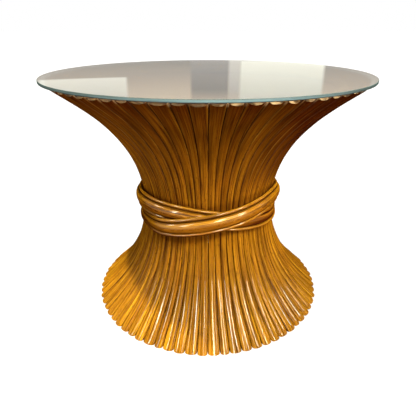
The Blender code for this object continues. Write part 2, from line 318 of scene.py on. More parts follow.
def crest_radius(height):
    return float(np.interp(height, OUTLINE[:, 1], OUTLINE[:, 0]))


def ease(start, end, value):
    """Smooth step from 0 at the start to 1 at the end, whichever way the two run."""
    share = min(max((value - start) / (end - start), 0.0), 1.0)
    return share * share * (3 - 2 * share)


def tie_height(angle):
    """Height of the tie's middle: up to the left under the crossing, round the back and down over it."""
    rise = TIE_RIGHT_TAIL_RISE
    rise += (TIE_LEFT_RISE - TIE_RIGHT_TAIL_RISE) * ease(*UNDER_PASS, angle)
    rise += (TIE_BACK_RISE - TIE_LEFT_RISE) * ease(*LEFT_TURN, angle)
    rise += (TIE_RIGHT_RISE - TIE_BACK_RISE) * ease(*RIGHT_TURN, angle)
    rise += (TIE_LEFT_TAIL_RISE - TIE_RIGHT_RISE) * ease(*OVER_PASS, angle)
    return WAIST_HEIGHT + rise


def tie_share(angle):
    """Size of the core's section as a share of its full one, which falls toward the end of each tail."""
    to_end = min(TIE_RIGHT_TAIL_END - angle, angle - TIE_LEFT_TAIL_END)
    return TIE_TAIL_SHARE + (1 - TIE_TAIL_SHARE) * min(to_end / TIE_TAIL_ANGLE, 1.0)


def tie_lift(angle):
    """How far the over pass stands off the sheaf to clear the under pass."""
    return (TIE_CORE_DEPTH + TIE_STRAND_GAP) * ease(*LIFT_ONSET, angle) * (1 - ease(*LIFT_RELEASE, angle))


def tie_shadow(bearing, height):
    """Painted shadow of the tie on the sheaf above and below it."""
    deepest = 0.0
    for angle in (bearing, bearing - 360):
        if TIE_LEFT_TAIL_END < angle < TIE_RIGHT_TAIL_END:
            above = height - tie_height(angle)
            reach = abs(above) - TIE_CORE_WIDTH * tie_share(angle) / 2 - TIE_CORD_DIAMETER
            if above > 0:
                deepest = max(deepest, SHADOW_ABOVE_TIE * (1 - ease(*SHADOW_FADE_ABOVE_TIE, reach)))
            else:
                deepest = max(deepest, SHADOW_UNDER_TIE * (1 - ease(*SHADOW_FADE_UNDER_TIE, reach - tie_lift(angle))))
    return deepest


Station = namedtuple("Station", "along radius height outward upward level crown shoulder gap")


def stave_stations():
    """Sections along a stave, closer together behind the tie, square to it and turning level at its two ends."""
    stations = []
    zone = (WAIST_ALONG - TIE_ZONE[0], WAIST_ALONG + TIE_ZONE[1])
    places = np.concatenate((np.linspace(0, zone[0], LOW_STATIONS, endpoint=False),
                             np.linspace(*zone, TIE_STATIONS, endpoint=False),
                             np.linspace(zone[1], STAVE_LENGTH, HIGH_STATIONS + 1)))
    for along in places:
        radius, height = (float(np.interp(along, OUTLINE_LENGTH, OUTLINE[:, axis])) for axis in (0, 1))
        tangent = [np.interp(along, OUTLINE_LENGTH, OUTLINE_TANGENT[:, axis]) for axis in (0, 1)]
        outward, upward = tangent / np.linalg.norm(tangent)
        to_end = min(along, STAVE_LENGTH - along)
        stations.append(Station(along, radius, height, outward, upward, 1 - ease(0, LEVEL_STRETCH, to_end),
                                along_stave(along, CROWN), along_stave(along, SHOULDER),
                                along_stave(along, GAP)))
    return stations


def under_crest(station, depth):
    """Radius and height of a point deep under the crest, slid along the stave where its end is cut level."""
    radius = station.radius - station.upward * depth
    height = station.height + station.outward * depth
    slide = station.level * (station.height - height) / station.upward
    return radius + station.outward * slide, height + station.upward * slide


def stave_section():
    """Points round a stave as (across, sink): across runs from groove to groove and sink from face to back."""
    outer = [(math.sin(turn), 0.0) for turn in np.linspace(-math.pi / 2, math.pi / 2, OUTER_POINTS)]
    back = [(1.0, 0.5), (1.0, 1.0), (0.0, 1.0), (-1.0, 1.0), (-1.0, 0.5)]
    return outer + back + outer[:1]


def groove_drifts(draw):
    """How far each groove wanders from its even place, in radians, at the foot, waist and rim."""
    limit = GROOVE_DRIFT_LIMIT
    return [[math.radians(max(-limit, min(limit, draw.gauss(0, drift)))) for drift in GROOVE_DRIFT]
            for _ in range(STAVE_COUNT)]


def stave_shape(stave, stations, section, drifts, draw):
    """One closed stave, shaped about +X, trimmed plumb at the rim and turned to its place."""
    shape = new_shape()
    grain, groove, stain_and_shade, gloss, rim_glint = wood_layers(shape)
    bmesh.ops.create_grid(shape, x_segments=STATION_COUNT, y_segments=len(section) - 1, size=0.5)
    stave_tone = draw.uniform(-TONE_DRIFT, TONE_DRIFT)
    proud = draw.gauss(0, STAVE_DRIFT)
    seed = draw.uniform(0, 50)
    edge_highlights = draw.uniform(*EDGE_HIGHLIGHT), draw.uniform(*EDGE_HIGHLIGHT)
    low, high = drifts[stave], drifts[(stave + 1) % STAVE_COUNT]
    bearings = [(math.degrees((stave + side) * STAVE_ANGLE) + 270) % 360 - 180 for side in (0, 1)]
    # Painted shade on the upper flare at the right
    right_shade = SHADE_AT_RIGHT * ease(*RIGHT_SHADE_ONSET, bearings[0]) * ease(*RIGHT_SHADE_RELEASE, bearings[0])
    # Painted shadow of the tie at each section, at the stave's two edges
    tie_shadows = [[tie_shadow(bearing, station.height) for bearing in bearings] for station in stations]
    sunk = {}
    for vert in shape.verts:
        step = round((vert.co.x + 0.5) * STATION_COUNT)
        station = stations[step]
        across, sink = section[round((vert.co.y + 0.5) * (len(section) - 1))]
        start = -STAVE_ANGLE / 2 + along_stave(station.along, low)
        end = STAVE_ANGLE / 2 + along_stave(station.along, high)
        fall = station.crown * (1 - (1 - across * across) ** station.shoulder)
        relief = RELIEF * noise.noise(Vector((across * WAVES_ACROSS, station.along * WAVES_ALONG, seed)))
        depth = fall + sink * (STAVE_THICKNESS - fall) + (1 - sink) * (relief + proud)
        radius, height = under_crest(station, depth)
        gap = station.gap + sink * (BACK_GAP - station.gap)
        half = (end - start) / 2 - gap / 2 / radius
        turn = (start + end) / 2 + across * half
        vert.co = (radius * math.cos(turn), radius * math.sin(turn), height)
        vert[grain] = (across * half * radius, station.along, seed)
        off_crest = abs(across)
        # Stain settled between the staves, plus painted shade in the grooves, on their walls and toward them
        vert[groove] = max(off_crest ** GROOVE_SHARPNESS, sink) * along_stave(station.along, GROOVE_TONE)
        # Painted shadow of the tie at this point
        darkened = float(np.interp(across, (-1, 1), tie_shadows[step]))
        upper = ease(*UPPER_FLARE, station.along - WAIST_ALONG)
        # Less stain along the edges of the upper flare: painted highlight lines
        edge_highlight = edge_highlights[across > 0] * upper * ease(*EDGE_HIGHLIGHT_BAND, off_crest) * (1 - sink)
        # Random tone, stain deepened toward the rim partly as painted shade, painted shadow of the tie, lighter
        # painted highlight lines and painted shade at the right
        vert[stain_and_shade] = stave_tone + along_stave(station.along, STAIN_AND_SHADE) + darkened - edge_highlight + right_shade * upper
        open_face = (1 - ease(*OPEN_BAND, off_crest)) * (1 - sink)
        edge_gloss = EDGE_GLOSS * upper * ease(*EDGE_GLOSS_BAND, off_crest)
        crest_gloss = float(np.interp(station.along, GLOSS_PLACES, GLOSS))
        crest_gloss *= 1 - (1 - FLANK_GLOSS) * ease(*CREST_BAND, off_crest)
        vert[gloss] = open_face * max(crest_gloss, edge_gloss)
        # Painted glints of pale wood at the groove tops by the rim
        vert[rim_glint] = ease(*RIM_GLINT_BAND, off_crest) * ease(STAVE_LENGTH - RIM_GLINT_STRETCH, STAVE_LENGTH, station.along)
        sunk[vert] = sink
    for face in shape.faces:
        face.material_index = SPLIT_BACK if all(sunk[vert] == 1 for vert in face.verts) else LACQUERED
    bmesh.ops.remove_doubles(shape, verts=shape.verts[:], dist=MERGE_DISTANCE)
    bmesh.ops.bisect_plane(shape, geom=shape.verts[:] + shape.edges[:] + shape.faces[:], dist=MERGE_DISTANCE,
                           clear_outer=True, plane_no=(1, 0, 0),
                           plane_co=(RIM_RADIUS - RIM_TRIM + draw.uniform(*RIM_TRIM_DRIFT), 0, 0))
    open_edges = [edge for edge in shape.edges if edge.is_boundary]
    ends = bmesh.ops.holes_fill(shape, edges=open_edges)["faces"]
    for face in ends:
        face.material_index = CUT_END
    bmesh.ops.recalc_face_normals(shape, faces=shape.faces[:])
    rims = [edge for edge in shape.edges if any(face in ends for face in edge.link_faces)]
    bmesh.ops.bevel(shape, geom=rims, offset=END_ROUND, offset_type="OFFSET", affect="EDGES", segments=2,
                    profile=0.5, material=-1, clamp_overlap=True)
    bmesh.ops.rotate(shape, verts=shape.verts[:], cent=(0, 0, 0),
                     matrix=Matrix.Rotation((stave + 0.5) * STAVE_ANGLE, 3, "Z"))
    return shape


def join_shape(shape, added):
    """Put a finished mesh into another. The bevel at a stave's ends varies from run to run in a shared mesh."""
    mesh = bpy.data.meshes.new("joined")
    added.to_mesh(mesh)
    added.free()
    shape.from_mesh(mesh)
    bpy.data.meshes.remove(mesh)


def finish_piece(name, shape, materials, body, nodes, crease=CREASE_ANGLE):
    """Object from a finished mesh that rides on its body and stands for its nodes."""
    mesh = bpy.data.meshes.new(name)
    shape.to_mesh(mesh)
    shape.free()
    mesh.shade_smooth()
    mesh.set_sharp_from_angle(angle=crease)
    for material in materials:
        mesh.materials.append(material)
    piece = bpy.data.objects.new(name, mesh)
    bpy.context.scene.collection.objects.link(piece)
    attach(piece, body)
    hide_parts(*nodes)
    return piece


def new_shape():
    """Empty mesh with the layers that wood patterns follow."""
    shape = bmesh.new()
    shape.verts.layers.float_vector.new("grain")
    for name in WOOD_LAYERS:
        shape.verts.layers.float.new(name)
    return shape


def wood_layers(shape):
    """Layers of a mesh from new_shape: grain first, then the float layers in their order."""
    layers = shape.verts.layers
    return [layers.float_vector["grain"]] + [layers.float[name] for name in WOOD_LAYERS]


def set_input(tree, socket, value):
    """Link an input to a socket, or set it to a plain value."""
    if isinstance(value, bpy.types.NodeSocket):
        tree.links.new(value, socket)
    else:
        socket.default_value = value


def set_inputs(tree, node, **inputs):
    """Set or link inputs by their names, with _ for a space."""
    for name, value in inputs.items():
        set_input(tree, node.inputs[name.replace("_", " ")], value)


def add_node(tree, kind, **inputs):
    """Shader node with some of its inputs set or linked."""
    node = tree.nodes.new(kind)
    set_inputs(tree, node, **inputs)
    return node


def attribute(tree, name, output):
    node = tree.nodes.new("ShaderNodeAttribute")
    node.attribute_name = name
    return node.outputs[output]


def object_place(tree):
    return tree.nodes.new("ShaderNodeTexCoord").outputs["Object"]


def stretched_noise(tree, place, stretch, detail, roughness, distortion=0.0):
    """Noise over a place whose three axes are stretched to cells per metre."""
    mapping = add_node(tree, "ShaderNodeMapping", Vector=place, Scale=stretch)
    node = add_node(tree, "ShaderNodeTexNoise", Vector=mapping.outputs["Vector"], Scale=1.0, Detail=detail,
                    Roughness=roughness, Distortion=distortion)
    return node.outputs["Fac"]


def span(tree, value, low, high, to_low=0.0, to_high=1.0):
    """Value mapped from one range to another and held inside it."""
    node = add_node(tree, "ShaderNodeMapRange")
    node.clamp = True
    for index, item in enumerate((value, low, high, to_low, to_high)):
        set_input(tree, node.inputs[index], item)
    return node.outputs["Result"]


def maths(tree, operation, first, second=0.0):
    """Result of a maths node on one or two values or sockets."""
    node = tree.nodes.new("ShaderNodeMath")
    node.operation = operation
    set_input(tree, node.inputs[0], first)
    set_input(tree, node.inputs[1], second)
    return node.outputs["Value"]


def times(tree, first, second):
    return maths(tree, "MULTIPLY", first, second)


def mixed(tree, share, first, second, blend="MIX"):
    """Colour from a share of the second colour on the first."""
    node = tree.nodes.new("ShaderNodeMix")
    node.data_type = "RGBA"
    node.blend_type = blend
    set_input(tree, node.inputs["Factor"], share)
    for socket, colour in ((node.inputs[6], first), (node.inputs[7], second)):
        set_input(tree, socket, colour if isinstance(colour, bpy.types.NodeSocket) else (*colour, 1.0))
    return node.outputs[2]


def weighted(tree, first, second, share):
    """Sum of two patterns with a share for the first and the rest for the second."""
    return maths(tree, "ADD", times(tree, first, share), times(tree, second, round(1 - share, 6)))


def shaded(tree, colour, shade):
    """Colour times one shade for all its parts."""
    grey = add_node(tree, "ShaderNodeCombineColor", Red=shade, Green=shade, Blue=shade).outputs["Color"]
    return mixed(tree, 1.0, colour, grey, "MULTIPLY")


def tinted(colour, share):
    """Plain colour made darker or lighter by a share."""
    return [share * part for part in colour]


def facing_away(tree):
    return tree.nodes.new("ShaderNodeLayerWeight").outputs["Facing"]


def split_axes(tree, place):
    """Outputs X, Y and Z of a place."""
    return add_node(tree, "ShaderNodeSeparateXYZ", Vector=place).outputs


def ramp(tree, share, stops):
    """Colour ramp through (place, colour) stops."""
    node = add_node(tree, "ShaderNodeValToRGB", Fac=share)
    elements = node.color_ramp.elements
    while len(elements) < len(stops):
        elements.new(0.5)
    for element, (place, colour) in zip(elements, stops):
        element.position = place
        element.color = (*colour, 1.0)
    return node.outputs["Color"]


def bumped(tree, height, strength, distance):
    node = add_node(tree, "ShaderNodeBump", Height=height, Strength=strength, Distance=distance)
    return node.outputs["Normal"]


def new_finish(name):
    """Material with its node tree and its main shader."""
    material = bpy.data.materials.new(name)
    material.use_nodes = True
    return material, material.node_tree, material.node_tree.nodes["Principled BSDF"]


def stained_wood(name, dark, amber, pale, deep, groove_colour, glint_colour, shine, dullness):
    """Stained split pole under lacquer, whose fibres, cracks and flecks run along it."""
    material, tree, shader = new_finish(name)
    grain = attribute(tree, "grain", "Vector")
    groove = attribute(tree, "groove", "Fac")
    stain_and_shade = attribute(tree, "stain_and_shade", "Fac")
    gloss = attribute(tree, "gloss", "Fac")
    fibres = stretched_noise(tree, grain, (900, 16, 1), 4, 0.65)
    streaks = stretched_noise(tree, grain, (330, 4, 1), 3, 0.6, 0.2)
    patches = stretched_noise(tree, grain, (45, 9, 1), 3, 0.55)
    flecks = stretched_noise(tree, grain, (620, 75, 1), 2, 0.5)
    pores = stretched_noise(tree, grain, (520, 170, 1), 2, 0.6)
    lines = stretched_noise(tree, grain, (170, 1.8, 1), 1, 0.4)
    crack = span(tree, maths(tree, "ABSOLUTE", maths(tree, "SUBTRACT", lines, 0.5)), 0.0, 0.035, 1.0, 0.0)
    crack = times(tree, crack, span(tree, patches, 0.38, 0.58))
    crack = times(tree, crack, span(tree, stain_and_shade, 0.35, 0.80, 1.0, 0.25))
    depth = maths(tree, "SUBTRACT", weighted(tree, streaks, fibres, 0.6), 0.5)
    depth = times(tree, depth, span(tree, stain_and_shade, 0.3, 0.9, 1.0, 0.75))
    depth = maths(tree, "ADD", depth, 0.5)
    colour = ramp(tree, depth, ((0.38, dark), (0.49, amber), (0.62, pale)))
    colour = shaded(tree, colour, span(tree, patches, 0.30, 0.70, 0.66, 1.20))
    red = mixed(tree, 1.0, colour, RED_STAIN, "MULTIPLY")
    colour = mixed(tree, span(tree, stain_and_shade, 0.12, 0.50), colour, red)
    # Darker where the stain is deep: real stain, plus painted shade under the upper flare, beside the tie, at the
    # right and under the strands
    colour = mixed(tree, stain_and_shade, colour, mixed(tree, 1.0, colour, deep, "MULTIPLY"))
    colour = mixed(tree, span(tree, flecks, 0.60, 0.68, 0.0, 0.75), colour, dark)
    colour = mixed(tree, times(tree, crack, 0.85), colour, groove_colour)
    # Groove colour: stain settled between staves plus painted shade in the grooves, and painted shade between and
    # under the tie's strands
    colour = mixed(tree, span(tree, groove, 0.25, 1.0, 0.0, 0.95), colour, groove_colour)
    # Painted glints in the colour of the cut ends
    glint = times(tree, attribute(tree, "rim_glint", "Fac"), span(tree, streaks, 0.42, 0.62, 0.0, 0.8))
    colour = mixed(tree, glint, colour, glint_colour)
    dull = maths(tree, "ADD", span(tree, gloss, 0.0, FULL_GLOSS, MATT_DULLNESS, dullness),
                 span(tree, streaks, 0.3, 0.7, 0.0, 0.07))
    shine = times(tree, gloss, span(tree, facing_away(tree), *TURNED_AWAY, shine, 0.0))
    height = maths(tree, "ADD", streaks, times(tree, fibres, 0.4))
    height = maths(tree, "ADD", height, times(tree, pores, 0.7))
    height = maths(tree, "SUBTRACT", height, times(tree, span(tree, flecks, 0.60, 0.70), 0.3))
    height = maths(tree, "SUBTRACT", height, times(tree, crack, 0.6))
    set_inputs(tree, shader, Base_Color=colour, Roughness=dull, Specular_IOR_Level=shine,
               Specular_Tint=(*AMBER_LACQUER, 1.0), Normal=bumped(tree, height, 0.035, 0.0007))
    return material


def cut_end_wood(settings):
    """Cut ends of pale wood in a half-moon under the crest, with open pores, some of them dark and more of them
    toward the left, and a painted shadow line at the top.
    """
    material, tree, shader = new_finish("cut_end")
    place = object_place(tree)
    cells = add_node(tree, "ShaderNodeTexVoronoi", Vector=place, Scale=1500.0)
    clouds = stretched_noise(tree, place, (160, 160, 160), 4, 0.6)
    parts = split_axes(tree, place)
    # Dark cut ends at random, more of them toward the left
    darkened = maths(tree, "ADD", stretched_noise(tree, place, (38, 38, 38), 2, 0.5),
                   span(tree, parts["X"], -0.10, 0.02, 0.30, 0.0))
    colour = mixed(tree, span(tree, clouds, 0.3, 0.7, 0.0, 0.6), settings.cut_end, tinted(settings.cut_end, 0.55))
    colour = mixed(tree, span(tree, darkened, 0.44, 0.56, 0.0, 0.9), colour, settings.dark)
    colour = mixed(tree, span(tree, cells.outputs["Distance"], 0.0, 0.35, 0.35, 0.0), colour, settings.dark)
    across = split_axes(tree, attribute(tree, "grain", "Vector"))["X"]
    drop = maths(tree, "SUBTRACT", parts["Z"], STAVE_TOP)
    bulge = maths(tree, "ADD", maths(tree, "POWER", maths(tree, "DIVIDE", across, MOON_WIDTH / 2), 2.0),
                  maths(tree, "POWER", maths(tree, "DIVIDE", drop, MOON_DEPTH), 2.0))
    colour = mixed(tree, span(tree, bulge, *MOON_RIM), colour, settings.dark)
    # Painted shadow line under the glass at the top of each cut end
    line = span(tree, parts["Z"], *(STAVE_TOP - depth for depth in MOON_SHADOW_LINE))
    colour = mixed(tree, line, colour, settings.groove)
    set_inputs(tree, shader, Base_Color=colour, Roughness=span(tree, clouds, 0.3, 0.7, 0.45, 0.65),
               Specular_IOR_Level=0.1, Normal=bumped(tree, cells.outputs["Distance"], 0.3, 0.0003))
    return material


def split_face_wood(settings):
    """Rough split backs of the staves, stained but not lacquered."""
    material, tree, shader = new_finish("split_back")
    grain = attribute(tree, "grain", "Vector")
    fibres = stretched_noise(tree, grain, (700, 12, 1), 5, 0.7)
    patches = stretched_noise(tree, grain, (60, 9, 1), 3, 0.6)
    depth = weighted(tree, fibres, patches, 0.6)
    colour = ramp(tree, depth, ((0.34, settings.dark), (0.52, tinted(settings.amber, 0.75)),
                                (0.72, tinted(settings.cut_end, 0.55))))
    set_inputs(tree, shader, Base_Color=colour, Roughness=span(tree, fibres, 0.3, 0.7, 0.55, 0.75),
               Normal=bumped(tree, fibres, 0.6, 0.0012))
    return material


class SHEAF_OT_add_staves(bpy.types.Operator):
    """Add the staves of the sheaf, two to each pair of the part"""
    bl_idname = "sheaf.add_staves"
    bl_label = "Add staves"

    def execute(self, context):
        settings = context.scene.sheaf_staves
        materials = (
            stained_wood("stave_lacquer", settings.dark, settings.amber, settings.pale, settings.deep,
                         settings.groove, settings.cut_end, STAVE_SHINE, STAVE_DULLNESS),
            cut_end_wood(settings), split_face_wood(settings))
        draw = random.Random(STAVE_SEED)
        stations, section, drifts = stave_stations(), stave_section(), groove_drifts(draw)
        for pair in range(PAIR_COUNT):
            shape = new_shape()
            for stave in (2 * pair, 2 * pair + 1):
                join_shape(shape, stave_shape(stave, stations, section, drifts, draw))
            finish_piece(f"staves_{pair + 1:02d}", shape, materials, "sheaf",
                         [f"stave_pair_{pair + 1:02d}"])
        return {"FINISHED"}


HOOP_STEPS = 180
HOOP_SIDES = 18
HOOP_FULLNESS = 0.97
HOOP_KNOTS = 5
HOOP_KNOT_START = 0.37
HOOP_KNOT_REACH = 0.006
HOOP_KNOT_SWELL = 0.05


def hoop_wood(settings):
    """Bare pole with long fibres and darker rings at its joints."""
    material, tree, shader = new_finish("hoop_pole")
    grain = attribute(tree, "grain", "Vector")
    knots = attribute(tree, "groove", "Fac")
    fibres = stretched_noise(tree, grain, (420, 10, 1), 5, 0.65)
    patches = stretched_noise(tree, grain, (40, 7, 1), 3, 0.6)
    depth = weighted(tree, fibres, patches, 0.6)
    colour = ramp(tree, depth, ((0.30, settings.bark), (0.62, settings.pole)))
    colour = mixed(tree, times(tree, knots, 0.7), colour, settings.bark)
    set_inputs(tree, shader, Base_Color=colour, Roughness=span(tree, fibres, 0.3, 0.7, 0.42, 0.62),
               Normal=bumped(tree, fibres, 0.4, 0.0008))
    return material


def hoop_shape(name):
    """Round pole spun into a hoop, with a slight swelling at each joint of the cane."""
    low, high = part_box(name)
    thickness = high.z - low.z
    centre = Vector((high.x - thickness / 2, 0, (low.z + high.z) / 2))
    shape = new_shape()
    grain, groove = wood_layers(shape)[:2]
    bmesh.ops.create_circle(shape, segments=HOOP_SIDES, radius=thickness / 2 * HOOP_FULLNESS,
                            matrix=Matrix.Translation(centre) @ Matrix.Rotation(math.pi / 2, 4, "X"))
    bmesh.ops.spin(shape, geom=shape.verts[:] + shape.edges[:], cent=(0, 0, 0), axis=(0, 0, 1),
                   angle=math.tau, steps=HOOP_STEPS, use_merge=True)
    for vert in shape.verts:
        turn = math.atan2(vert.co.y, vert.co.x) % math.tau
        core = Vector((centre.x * math.cos(turn), centre.x * math.sin(turn), centre.z))
        arm = vert.co - core
        to_knot = (turn * HOOP_KNOTS / math.tau + HOOP_KNOT_START) % 1 - 0.5
        ring = math.exp(-(to_knot * math.tau / HOOP_KNOTS * centre.x / HOOP_KNOT_REACH) ** 2)
        vert.co = core + arm * (1 - HOOP_KNOT_SWELL * (1 - ring))
        around = math.atan2(arm.z, arm.dot(core - Vector((0, 0, centre.z))) / centre.x)
        vert[grain] = (around * thickness / 2, turn * centre.x, centre.z)
        vert[groove] = ring
    bmesh.ops.recalc_face_normals(shape, faces=shape.faces[:])
    return shape


class SHEAF_OT_add_hoops(bpy.types.Operator):
    """Add the hoops inside the sheaf"""
    bl_idname = "sheaf.add_hoops"
    bl_label = "Add hoops"

    def execute(self, context):
        material = hoop_wood(context.scene.sheaf_hoops)
        for name in ("rim_hoop", "waist_hoop", "foot_hoop"):
            finish_piece(f"{name}_pole", hoop_shape(name), [material], "sheaf", [name])
        return {"FINISHED"}


def tie_point(angle, side):
    """Middle of one strand at an angle of the wrap: side is 0 for the core, +1 and -1 for its cords."""
    share = tie_share(angle)
    spacing = (TIE_CORE_WIDTH * share + TIE_CORD_DIAMETER) / 2 + TIE_STRAND_GAP
    height = tie_height(angle) + side * spacing
    stand_off = max(TIE_CORE_DEPTH * share, TIE_CORD_DIAMETER) / 2
    if side > 0:
        stand_off = TIE_CORD_DIAMETER / 2 + TIE_CORD_STAND_OFF
    if side < 0:
        stand_off += TIE_CORD_STAND_OFF
    radius = crest_radius(height) + TIE_SEAT + stand_off + tie_lift(angle)
    turn = math.radians(angle)
    return Vector((radius * math.sin(turn), -radius * math.cos(turn), height))


def tie_strand(side, sides, squareness):
    """One strand swept along its wrap, with rounded ends and a slightly uneven thickness."""
    shape = new_shape()
    grain, groove, stain_and_shade, gloss = wood_layers(shape)[:4]
    bmesh.ops.create_grid(shape, x_segments=TIE_STEPS, y_segments=sides, size=0.5)
    angles = np.linspace(TIE_RIGHT_TAIL_END, TIE_LEFT_TAIL_END, TIE_STEPS + 1)
    points = [tie_point(angle, side) for angle in angles]
    lengths = np.cumsum([0.0] + [(end - start).length for start, end in zip(points, points[1:])])
    width, depth = (TIE_CORD_DIAMETER,) * 2 if side else (TIE_CORE_WIDTH, TIE_CORE_DEPTH)
    for vert in shape.verts:
        step = round((vert.co.x + 0.5) * TIE_STEPS)
        around = (vert.co.y + 0.5) * math.tau
        heading = (points[min(step + 1, TIE_STEPS)] - points[max(step - 1, 0)]).normalized()
        outward = Vector((points[step].x, points[step].y, 0)).normalized()
        upward = heading.cross(outward).normalized()
        outward = upward.cross(heading)
        share = 1.0 if side else tie_share(angles[step])
        share *= 1 + STRAND_WAVE * noise.noise(Vector((lengths[step] * STRAND_WAVES_PER_METRE, side * 5.0, 1.7)))
        to_end = min(lengths[step], lengths[-1] - lengths[step]) / (STRAND_END_ROUND * depth)
        share *= math.sqrt(max(1 - (1 - min(to_end, 1)) ** 2, STRAND_END_LEAST ** 2))
        out, up = math.cos(around), math.sin(around)
        power = 2 / squareness
        reach_out = math.copysign(abs(out) ** power, out) * depth / 2 * share
        reach_up = math.copysign(abs(up) ** power, up) * width / 2 * share
        vert.co = points[step] + outward * reach_out + upward * reach_up
        vert[grain] = (around * (width + depth) / 4, lengths[step], side * 3.3 + 1.5)
        # Painted shade where the strands meet and along their undersides
        vert[groove] = max(up ** 8 if side == 0 else 0.0, max(-up, 0.0) ** 3)
        # Painted shadow on the over pass's left tail and painted shade on the right tail under it; the lower cord is
        # darker past the crossing
        dark = SHADOW_ON_OVER_TAIL * ease(*OVER_TAIL, angles[step])
        if side < 0:
            dark += DARK_CORD * ease(*CORD_CROSSING, angles[step])
        else:
            dark += SHADE_ON_UNDER_TAIL * ease(*UNDER_TAIL, angles[step])
        # Painted shade on the strand's underside, and painted shadow and shade on its darker stretches
        vert[stain_and_shade] = SHADE_UNDER_STRAND * ease(*STRAND_UNDERSIDE, up) + dark
        bearing = (angles[step] + 180) % 360 - 180
        vert[gloss] = ease(*STRAND_TOP, up) * (1 - float(np.interp(bearing, TIE_DULL_PLACES, TIE_DULL)))
    bmesh.ops.remove_doubles(shape, verts=shape.verts[:], dist=MERGE_DISTANCE)
    bmesh.ops.holes_fill(shape, edges=[edge for edge in shape.edges if edge.is_boundary])
    bmesh.ops.recalc_face_normals(shape, faces=shape.faces[:])
    return shape


class SHEAF_OT_add_tie(bpy.types.Operator):
    """Add the tie's thick strand and the cords on its two sides"""
    bl_idname = "sheaf.add_tie"
    bl_label = "Add tie"

    def execute(self, context):
        settings = context.scene.sheaf_tie
        staves = context.scene.sheaf_staves
        material = stained_wood("tie_lacquer", settings.dark, settings.amber, settings.pale, staves.deep,
                                staves.groove, staves.cut_end, TIE_SHINE, TIE_DULLNESS)
        for name, side, sides, squareness in STRANDS:
            finish_piece(f"{name}_strand", tie_strand(side, sides, squareness), [material], "sheaf",
                         [name])
        return {"FINISHED"}


BUMPER_SIDES = 32
BUMPER_ROUND = 0.55
PLASTIC_IOR = 1.45


def clear_plastic():
    """Clear soft plastic with a faint haze."""
    material, tree, shader = new_finish("bumper_plastic")
    haze = stretched_noise(tree, object_place(tree), (700, 700, 700), 3, 0.6)
    colour = ramp(tree, haze, ((0.3, (0.80, 0.82, 0.80)), (0.7, (0.92, 0.94, 0.93))))
    set_inputs(tree, shader, Base_Color=colour, Roughness=span(tree, haze, 0.3, 0.7, 0.18, 0.34),
               Transmission_Weight=0.85, IOR=PLASTIC_IOR)
    return material


class SHEAF_OT_add_bumpers(bpy.types.Operator):
    """Add the clear bumpers under the glass"""
    bl_idname = "sheaf.add_bumpers"
    bl_label = "Add bumpers"

    def execute(self, context):
        material = clear_plastic()
        for number in range(1, BUMPER_COUNT + 1):
            low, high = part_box(f"glass_bumper_{number}")
            height = high.z - low.z
            shape = bmesh.new()
            bmesh.ops.create_cone(shape, cap_ends=True, segments=BUMPER_SIDES, radius1=(high.x - low.x) / 2,
                                  radius2=(high.x - low.x) / 2, depth=height,
                                  matrix=Matrix.Translation((low + high) / 2))
            top = [edge for edge in shape.edges if all(vert.co.z > (low + high).z / 2 for vert in edge.verts)]
            bmesh.ops.bevel(shape, geom=top, offset=height * BUMPER_ROUND, offset_type="OFFSET", affect="EDGES",
                            segments=4, profile=0.5, material=-1)
            finish_piece(f"bumper_{number}", shape, [material], "sheaf",
                         [f"glass_bumper_{number}"])
        return {"FINISHED"}


GLASS_SIDES = 240
GLASS_IOR = 1.52
GLASS_CREASE = math.radians(20)
GLASS_FACE, GLASS_EDGE = 0, 1


def clear_sheet(settings):
    """Faces of the sheet, with faint wiped smears and a deeper tint at a low angle."""
    material, tree, shader = new_finish("glass_sheet")
    place = object_place(tree)
    smears = stretched_noise(tree, place, (5, 14, 5), 4, 0.55, 0.8)
    colour = mixed(tree, span(tree, smears, 0.4, 0.8), settings.tint, tinted(settings.tint, 0.98))
    colour = mixed(tree, span(tree, facing_away(tree), 0.60, 0.84), colour, settings.graze)
    set_inputs(tree, shader, Base_Color=colour, Roughness=span(tree, smears, 0.45, 0.75, 0.0, 0.004),
               Transmission_Weight=1.0, IOR=GLASS_IOR)
    return material


def polished_edge(settings):
    """Edge of the sheet, where light has come a long way through it, with painted shade at the sides, along its
    corners and along its lower arris.
    """
    material, tree, shader = new_finish("glass_edge")
    place = object_place(tree)
    parts = split_axes(tree, place)
    middle = (GLASS_LOW.z + GLASS_HIGH.z) / 2
    off_middle = maths(tree, "ABSOLUTE", maths(tree, "SUBTRACT", parts["Z"], middle))
    # Painted shade along the eased corners, and darker along the lower arris
    corner_shade = span(tree, off_middle, GLASS_THICKNESS * 0.26, GLASS_THICKNESS * 0.42)
    lower = span(tree, parts["Z"], GLASS_LOW.z + GLASS_THICKNESS * 0.14, GLASS_LOW.z + GLASS_THICKNESS * 0.30,
                 1.0, 0.0)
    bands = stretched_noise(tree, place, (9, 9, 420), 3, 0.5)
    colour = ramp(tree, bands, ((0.30, tinted(settings.edge, 0.75)), (0.50, settings.edge),
                                (0.72, tinted(settings.edge, 1.2))))
    # Painted shade toward the sides
    sides = maths(tree, "MAXIMUM", span(tree, parts["X"], -0.08, -0.20, 0.0, 0.75),
                  span(tree, parts["X"], 0.08, 0.26))
    colour = mixed(tree, sides, colour, tinted(settings.corner_shade, 0.7))
    colour = mixed(tree, corner_shade, colour, settings.corner_shade)
    colour = mixed(tree, lower, colour, tinted(settings.corner_shade, 0.2))
    set_inputs(tree, shader, Base_Color=colour, Roughness=span(tree, bands, 0.3, 0.7, 0.18, 0.30),
               Specular_IOR_Level=span(tree, facing_away(tree), 0.3, 0.6, 0.12, 0.0))
    return material


